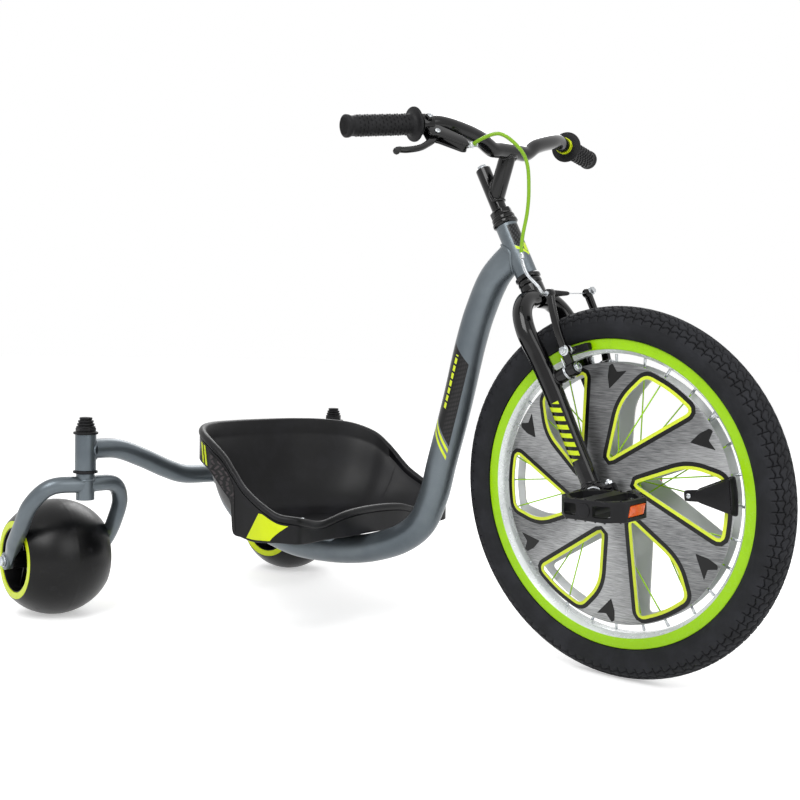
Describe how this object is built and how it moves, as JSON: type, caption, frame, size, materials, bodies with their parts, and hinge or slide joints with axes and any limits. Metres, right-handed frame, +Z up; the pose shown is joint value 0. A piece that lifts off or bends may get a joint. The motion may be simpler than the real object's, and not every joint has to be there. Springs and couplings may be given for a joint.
{
  "type": "drift trike",
  "caption": "Low drift trike: spoked front wheel with direct cranks, curved tube frame, bucket seat and two trailing ball casters.",
  "frame": {"origin": "centre of the bounding box on the ground plane", "axes": "+X forward, +Y to the rider's left, +Z up"},
  "size_m": [1.2186, 0.7618, 0.787],
  "materials": {
    "frame_paint": "satin metallic grey",
    "black_paint": "gloss black",
    "lime_paint": "gloss lime",
    "brushed_cover": "brushed",
    "bright_steel": "bright zinc",
    "tyre_rubber": "matte",
    "grip_rubber": "matte",
    "black_plastic": "satin",
    "seat_plastic": "satin, fine grain",
    "ball_plastic": "satin, pebbled",
    "lime_housing": "gloss"
  },
  "bodies": {
    "frame": {"head_tube": "frame_paint", "main_tube": "frame_paint", "rear_boom": "frame_paint", "seat_bracket": "frame_paint", "seat": "seat_plastic", "seat_bolt_rear": "bright_steel", "seat_bolt_front": "bright_steel", "headset_cup_lower": "black_paint", "headset_cup_upper": "black_paint", "caster_bush_right": "black_plastic", "caster_bush_left": "black_plastic"},
    "front_end": {"fork": "black_paint", "crown_race": "black_paint", "headset_nut": "black_paint", "stem": "black_paint", "quill_bolt": "bright_steel", "handlebar": "black_paint", "grip_right": "grip_rubber", "grip_left": "grip_rubber", "lever_perch": "black_plastic", "cable_barrel": "black_plastic", "lever_pin": "bright_steel", "cable_housing": "lime_housing", "cable_noodle": "bright_steel", "cable_boot": "grip_rubber", "wheel_bearing_right": "bright_steel", "wheel_bearing_left": "bright_steel", "bearing_cap_right": "black_paint", "bearing_cap_left": "black_paint", "brake_bolt_right": "bright_steel", "brake_bolt_left": "bright_steel"},
    "front_wheel": {"tyre": "tyre_rubber", "rim": "lime_paint", "spoked_hub": "lime_paint", "disc_cover_right": "brushed_cover", "disc_cover_left": "brushed_cover", "wheel_reflector": "black_plastic", "axle": "bright_steel", "crank_right": "black_paint", "crank_left": "black_paint", "crank_bolt_right": "black_paint", "crank_bolt_left": "black_paint", "pedal_spindle_right": "bright_steel", "pedal_spindle_left": "bright_steel"},
    "pedal_right": {"pedal_right": "black_plastic"},
    "pedal_left": {"pedal_left": "black_plastic"},
    "brake_lever": {"brake_lever": "black_plastic"},
    "brake_arm_right": {"brake_arm_right": "black_paint", "brake_pad_right": "grip_rubber"},
    "brake_arm_left": {"brake_arm_left": "black_paint", "brake_pad_left": "grip_rubber", "cable_wire": "bright_steel"},
    "caster_right": {"caster_fork_right": "frame_paint", "caster_nut_right": "black_plastic", "ball_axle_right": "bright_steel"},
    "caster_left": {"caster_fork_left": "frame_paint", "caster_nut_left": "black_plastic", "ball_axle_left": "bright_steel"},
    "ball_right": {"ball_right": "ball_plastic"},
    "ball_left": {"ball_left": "ball_plastic"}
  },
  "joints": [
    {"name": "steering", "type": "hinge", "parent": "frame", "child": "front_end", "pos_m": [0.3567, -0.00529, 0.254], "axis": [-0.454, 0, 0.891], "range_deg": [-38, 52]},
    {"name": "front_wheel_spin", "type": "hinge", "parent": "front_end", "child": "front_wheel", "pos_m": [0.3567, -0.00529, 0.254], "axis": [0.1061, 0.9929, 0.0541], "continuous": true},
    {"name": "pedal_right_spin", "type": "hinge", "parent": "front_wheel", "child": "pedal_right", "pos_m": [0.42634, -0.18119, 0.25862], "axis": [0.1061, 0.9929, 0.0541], "continuous": true},
    {"name": "pedal_left_spin", "type": "hinge", "parent": "front_wheel", "child": "pedal_left", "pos_m": [0.28705, 0.1706, 0.24938], "axis": [0.1061, 0.9929, 0.0541], "continuous": true},
    {"name": "brake_lever_pull", "type": "hinge", "parent": "front_end", "child": "brake_lever", "pos_m": [0.15359, -0.16555, 0.73069], "axis": [-0.6731, 0.367, -0.6421], "range_deg": [0, 12], "stiffness_Nm_per_rad": 0.6, "springref_deg": -8.59},
    {"name": "brake_arm_right_pivot", "type": "hinge", "parent": "front_end", "child": "brake_arm_right", "pos_m": [0.30868, -0.05152, 0.42033], "axis": [-0.8847, 0.1191, -0.4508], "range_deg": [0, 1.6]},
    {"name": "brake_arm_left_pivot", "type": "hinge", "parent": "front_end", "child": "brake_arm_left", "pos_m": [0.31759, 0.03188, 0.42487], "axis": [0.8847, -0.1191, 0.4508], "range_deg": [0, 1.6]},
    {"name": "caster_right_swivel", "type": "hinge", "parent": "frame", "child": "caster_right", "pos_m": [-0.4088, -0.30029, 0.27], "axis": [0, 0, 1], "continuous": true},
    {"name": "caster_left_swivel", "type": "hinge", "parent": "frame", "child": "caster_left", "pos_m": [-0.4088, 0.28971, 0.27], "axis": [0, 0, 1], "continuous": true},
    {"name": "ball_right_roll", "type": "hinge", "parent": "caster_right", "child": "ball_right", "pos_m": [-0.5144, -0.27766, 0.094], "axis": [0.2096, 0.9778, 0], "continuous": true},
    {"name": "ball_left_roll", "type": "hinge", "parent": "caster_left", "child": "ball_left", "pos_m": [-0.51674, 0.28613, 0.094], "axis": [-0.0332, 0.9995, 0], "continuous": true}
  ],
  "couplings": [
    {"joint": "brake_arm_right_pivot", "follows": "brake_lever_pull", "ratio": 0.1333},
    {"joint": "brake_arm_left_pivot", "follows": "brake_lever_pull", "ratio": 0.1333}
  ]
}
